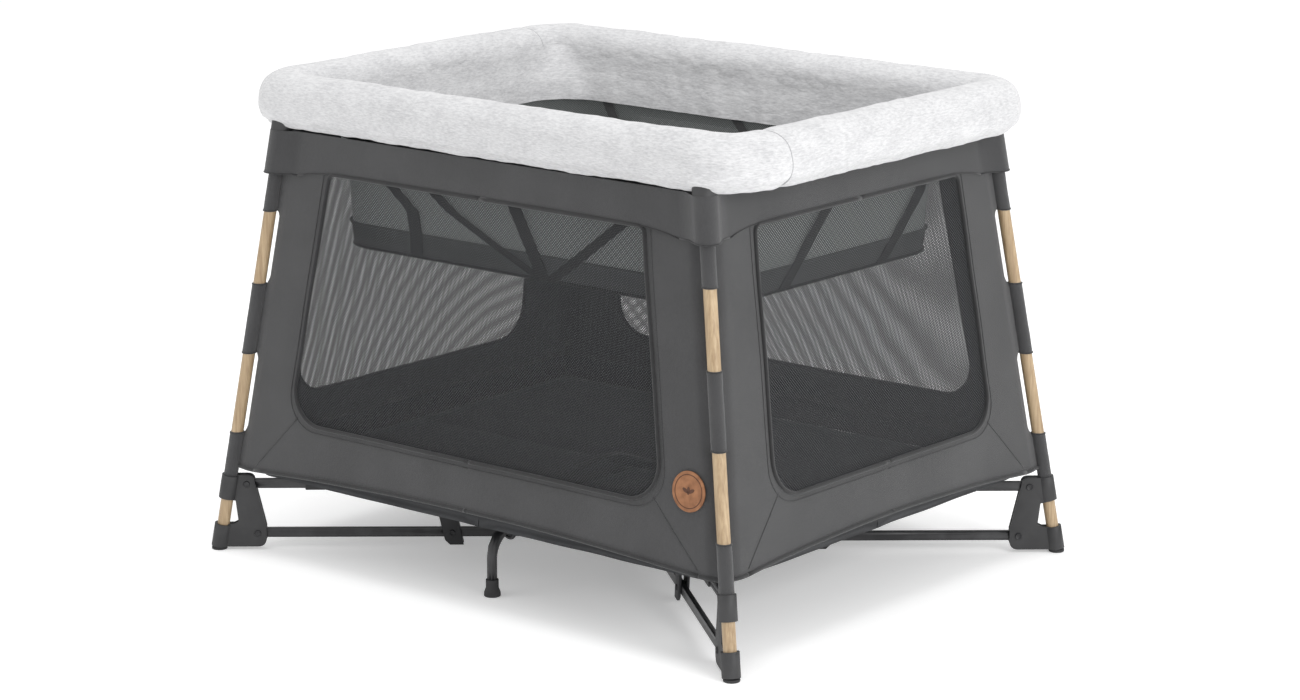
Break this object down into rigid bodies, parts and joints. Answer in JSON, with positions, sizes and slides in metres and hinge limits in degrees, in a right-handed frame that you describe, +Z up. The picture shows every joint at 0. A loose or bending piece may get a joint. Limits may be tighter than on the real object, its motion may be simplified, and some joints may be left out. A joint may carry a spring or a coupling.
{
  "type": "folding playpen",
  "caption": "Folding playpen: padded rim on leaning timber-look legs, fabric walls with net windows, padded floor, hung bassinet and an umbrella-fold floor frame.",
  "frame": {"origin": "on the floor under the middle of the pen", "axes": "+X along the long side, +Y from the front long side to the rear one, +Z up"},
  "size_m": [1.0658, 0.8626, 0.767],
  "materials": {
    "timber": "satin wood look with fine grain",
    "charcoal_plastic": "matt moulded",
    "black_paint": "satin powder coat",
    "rubber": "matt",
    "charcoal_fabric": "fine plain weave",
    "net": "open knitted net",
    "melange_cover": "soft melange jersey",
    "floor_fabric": "dark net over padding",
    "bassinet_fabric": "grey net with a woven band"
  },
  "bodies": {
    "leg_front_left": {"leg_tube_front_left": "timber", "corner_casting_front_left": "charcoal_plastic", "foot_bracket_front_left": "charcoal_plastic", "rubber_foot_front_left": "rubber", "wall_front": "charcoal_fabric", "window_net_front": "net", "rim_cushion_front": "melange_cover"},
    "leg_front_right": {"leg_tube_front_right": "timber", "corner_casting_front_right": "charcoal_plastic", "foot_bracket_front_right": "charcoal_plastic", "rubber_foot_front_right": "rubber", "wall_right": "charcoal_fabric", "window_net_right": "net", "rim_cushion_right": "melange_cover"},
    "leg_rear_right": {"leg_tube_rear_right": "timber", "corner_casting_rear_right": "charcoal_plastic", "foot_bracket_rear_right": "charcoal_plastic", "rubber_foot_rear_right": "rubber", "wall_rear": "charcoal_fabric", "window_net_rear": "net", "rim_cushion_rear": "melange_cover"},
    "leg_rear_left": {"leg_tube_rear_left": "timber", "corner_casting_rear_left": "charcoal_plastic", "foot_bracket_rear_left": "charcoal_plastic", "rubber_foot_rear_left": "rubber", "wall_left": "charcoal_fabric", "window_net_left": "net", "rim_cushion_left": "melange_cover"},
    "upper_arm_front_left": {"upper_arm_front_left": "black_paint", "floor_pad_front_left": "floor_fabric"},
    "lower_arm_front_left": {"lower_arm_front_left": "black_paint"},
    "arm_link_front_left": {"arm_link_front_left": "charcoal_plastic"},
    "long_rail_front_left": {"long_rail_front_left": "black_paint"},
    "short_rail_front_left": {"short_rail_front_left": "black_paint"},
    "upper_arm_front_right": {"upper_arm_front_right": "black_paint", "floor_pad_front_right": "floor_fabric"},
    "lower_arm_front_right": {"lower_arm_front_right": "black_paint"},
    "arm_link_front_right": {"arm_link_front_right": "charcoal_plastic"},
    "long_rail_front_right": {"long_rail_front_right": "black_paint"},
    "short_rail_front_right": {"short_rail_front_right": "black_paint"},
    "upper_arm_rear_right": {"upper_arm_rear_right": "black_paint", "floor_pad_rear_right": "floor_fabric"},
    "lower_arm_rear_right": {"lower_arm_rear_right": "black_paint"},
    "arm_link_rear_right": {"arm_link_rear_right": "charcoal_plastic"},
    "long_rail_rear_right": {"long_rail_rear_right": "black_paint"},
    "short_rail_rear_right": {"short_rail_rear_right": "black_paint"},
    "upper_arm_rear_left": {"upper_arm_rear_left": "black_paint", "floor_pad_rear_left": "floor_fabric"},
    "lower_arm_rear_left": {"lower_arm_rear_left": "black_paint"},
    "arm_link_rear_left": {"arm_link_rear_left": "charcoal_plastic"},
    "long_rail_rear_left": {"long_rail_rear_left": "black_paint"},
    "short_rail_rear_left": {"short_rail_rear_left": "black_paint"},
    "hub": {"hub": "charcoal_plastic"},
    "hub_handle": {"hub_handle": "charcoal_plastic"},
    "support_front": {"support_tube_front": "black_paint", "support_foot_front": "rubber"},
    "support_rear": {"support_tube_rear": "black_paint", "support_foot_rear": "rubber"},
    "bassinet": {"bassinet": "bassinet_fabric", "bassinet_pad": "floor_fabric"}
  },
  "joints": [
    {"name": "fold", "type": "hinge", "parent": "leg_rear_left", "child": "upper_arm_rear_left", "pos_m": [-0.48483, 0.38836, 0.108], "axis": [-0.6444, -0.7647, 0], "range_deg": [0, 76], "deforming": ["rim_cushion_front", "rim_cushion_right", "rim_cushion_rear", "rim_cushion_left", "wall_front", "wall_right", "wall_rear", "wall_left", "window_net_front", "window_net_right", "window_net_rear", "window_net_left", "floor_pad_front_left", "floor_pad_front_right", "floor_pad_rear_right", "floor_pad_rear_left"]},
    {"name": "upper_arm_turn_front_left", "type": "hinge", "parent": "hub", "child": "upper_arm_front_left", "pos_m": [-0.09877, -0.06301, 0.108], "axis": [0.6444, -0.7647, 0], "range_deg": [0, 76]},
    {"name": "leg_turn_front_left", "type": "hinge", "parent": "upper_arm_front_left", "child": "leg_front_left", "pos_m": [-0.48483, -0.38836, 0.108], "axis": [0.6444, -0.7647, 0], "range_deg": [-76, 0]},
    {"name": "lower_arm_turn_front_left", "type": "hinge", "parent": "hub", "child": "lower_arm_front_left", "pos_m": [-0.08654, -0.05269, 0.027], "axis": [0.6444, -0.7647, 0], "range_deg": [0, 76]},
    {"name": "arm_link_turn_front_left", "type": "hinge", "parent": "upper_arm_front_left", "child": "arm_link_front_left", "pos_m": [-0.24865, -0.18931, 0.108], "axis": [0.6444, -0.7647, 0], "range_deg": [-76, 0]},
    {"name": "long_rail_fold_front_left", "type": "hinge", "parent": "leg_front_left", "child": "long_rail_front_left", "pos_m": [-0.38605, -0.35335, 0.712], "axis": [0, 1, 0], "range_deg": [0, 76]},
    {"name": "short_rail_fold_front_left", "type": "hinge", "parent": "leg_front_left", "child": "short_rail_front_left", "pos_m": [-0.43305, -0.32535, 0.712], "axis": [-1, 0, 0], "range_deg": [0, 76]},
    {"name": "upper_arm_turn_front_right", "type": "hinge", "parent": "hub", "child": "upper_arm_front_right", "pos_m": [0.09877, -0.06301, 0.108], "axis": [0.6444, 0.7647, 0], "range_deg": [0, 76]},
    {"name": "leg_turn_front_right", "type": "hinge", "parent": "upper_arm_front_right", "child": "leg_front_right", "pos_m": [0.48483, -0.38836, 0.108], "axis": [0.6444, 0.7647, 0], "range_deg": [-76, 0]},
    {"name": "lower_arm_turn_front_right", "type": "hinge", "parent": "hub", "child": "lower_arm_front_right", "pos_m": [0.08654, -0.05269, 0.027], "axis": [0.6444, 0.7647, 0], "range_deg": [0, 76]},
    {"name": "arm_link_turn_front_right", "type": "hinge", "parent": "upper_arm_front_right", "child": "arm_link_front_right", "pos_m": [0.24865, -0.18931, 0.108], "axis": [0.6444, 0.7647, 0], "range_deg": [-76, 0]},
    {"name": "long_rail_fold_front_right", "type": "hinge", "parent": "leg_front_right", "child": "long_rail_front_right", "pos_m": [0.38605, -0.35335, 0.712], "axis": [0, -1, 0], "range_deg": [0, 76]},
    {"name": "short_rail_fold_front_right", "type": "hinge", "parent": "leg_front_right", "child": "short_rail_front_right", "pos_m": [0.43305, -0.32535, 0.712], "axis": [-1, 0, 0], "range_deg": [0, 76]},
    {"name": "upper_arm_turn_rear_right", "type": "hinge", "parent": "hub", "child": "upper_arm_rear_right", "pos_m": [0.09877, 0.06301, 0.108], "axis": [-0.6444, 0.7647, 0], "range_deg": [0, 76]},
    {"name": "leg_turn_rear_right", "type": "hinge", "parent": "upper_arm_rear_right", "child": "leg_rear_right", "pos_m": [0.48483, 0.38836, 0.108], "axis": [-0.6444, 0.7647, 0], "range_deg": [-76, 0]},
    {"name": "lower_arm_turn_rear_right", "type": "hinge", "parent": "hub", "child": "lower_arm_rear_right", "pos_m": [0.08654, 0.05269, 0.027], "axis": [-0.6444, 0.7647, 0], "range_deg": [0, 76]},
    {"name": "arm_link_turn_rear_right", "type": "hinge", "parent": "upper_arm_rear_right", "child": "arm_link_rear_right", "pos_m": [0.24865, 0.18931, 0.108], "axis": [-0.6444, 0.7647, 0], "range_deg": [-76, 0]},
    {"name": "long_rail_fold_rear_right", "type": "hinge", "parent": "leg_rear_right", "child": "long_rail_rear_right", "pos_m": [0.38605, 0.35335, 0.712], "axis": [0, -1, 0], "range_deg": [0, 76]},
    {"name": "short_rail_fold_rear_right", "type": "hinge", "parent": "leg_rear_right", "child": "short_rail_rear_right", "pos_m": [0.43305, 0.32535, 0.712], "axis": [1, 0, 0], "range_deg": [0, 76]},
    {"name": "hub_rise", "type": "hinge", "parent": "upper_arm_rear_left", "child": "hub", "pos_m": [-0.09877, 0.06301, 0.108], "axis": [-0.6444, -0.7647, 0], "range_deg": [-76, 0]},
    {"name": "lower_arm_turn_rear_left", "type": "hinge", "parent": "hub", "child": "lower_arm_rear_left", "pos_m": [-0.08654, 0.05269, 0.027], "axis": [-0.6444, -0.7647, 0], "range_deg": [0, 76]},
    {"name": "arm_link_turn_rear_left", "type": "hinge", "parent": "upper_arm_rear_left", "child": "arm_link_rear_left", "pos_m": [-0.24865, 0.18931, 0.108], "axis": [-0.6444, -0.7647, 0], "range_deg": [-76, 0]},
    {"name": "long_rail_fold_rear_left", "type": "hinge", "parent": "leg_rear_left", "child": "long_rail_rear_left", "pos_m": [-0.38605, 0.35335, 0.712], "axis": [0, 1, 0], "range_deg": [0, 76]},
    {"name": "short_rail_fold_rear_left", "type": "hinge", "parent": "leg_rear_left", "child": "short_rail_rear_left", "pos_m": [-0.43305, 0.32535, 0.712], "axis": [1, 0, 0], "range_deg": [0, 76]},
    {"name": "support_fold_front", "type": "hinge", "parent": "hub", "child": "support_front", "pos_m": [-0.014, -0.072, 0.1], "axis": [1, 0, 0], "range_deg": [0, 90]},
    {"name": "support_fold_rear", "type": "hinge", "parent": "hub", "child": "support_rear", "pos_m": [0.014, 0.072, 0.1], "axis": [-1, 0, 0], "range_deg": [0, 90]},
    {"name": "handle_lift", "type": "slide", "parent": "hub", "child": "hub_handle", "axis": [0, 0, 1], "range_m": [0, 0.012], "stiffness_N_per_m": 300},
    {"name": "bassinet_lift", "type": "slide", "parent": "hub", "child": "bassinet", "axis": [0, 0, 1], "range_m": [0, 0.4]}
  ],
  "couplings": [
    {"joint": "upper_arm_turn_front_left", "follows": "fold", "ratio": 1},
    {"joint": "leg_turn_front_left", "follows": "fold", "ratio": -1},
    {"joint": "lower_arm_turn_front_left", "follows": "fold", "ratio": 1},
    {"joint": "arm_link_turn_front_left", "follows": "fold", "ratio": -1},
    {"joint": "long_rail_fold_front_left", "follows": "fold", "ratio": 1},
    {"joint": "short_rail_fold_front_left", "follows": "fold", "ratio": 1},
    {"joint": "upper_arm_turn_front_right", "follows": "fold", "ratio": 1},
    {"joint": "leg_turn_front_right", "follows": "fold", "ratio": -1},
    {"joint": "lower_arm_turn_front_right", "follows": "fold", "ratio": 1},
    {"joint": "arm_link_turn_front_right", "follows": "fold", "ratio": -1},
    {"joint": "long_rail_fold_front_right", "follows": "fold", "ratio": 1},
    {"joint": "short_rail_fold_front_right", "follows": "fold", "ratio": 1},
    {"joint": "upper_arm_turn_rear_right", "follows": "fold", "ratio": 1},
    {"joint": "leg_turn_rear_right", "follows": "fold", "ratio": -1},
    {"joint": "lower_arm_turn_rear_right", "follows": "fold", "ratio": 1},
    {"joint": "arm_link_turn_rear_right", "follows": "fold", "ratio": -1},
    {"joint": "long_rail_fold_rear_right", "follows": "fold", "ratio": 1},
    {"joint": "short_rail_fold_rear_right", "follows": "fold", "ratio": 1},
    {"joint": "hub_rise", "follows": "fold", "ratio": -1},
    {"joint": "lower_arm_turn_rear_left", "follows": "fold", "ratio": 1},
    {"joint": "arm_link_turn_rear_left", "follows": "fold", "ratio": -1},
    {"joint": "long_rail_fold_rear_left", "follows": "fold", "ratio": 1},
    {"joint": "short_rail_fold_rear_left", "follows": "fold", "ratio": 1},
    {"joint": "support_fold_front", "follows": "fold", "ratio": 1.1842},
    {"joint": "support_fold_rear", "follows": "fold", "ratio": 1.1842}
  ]
}
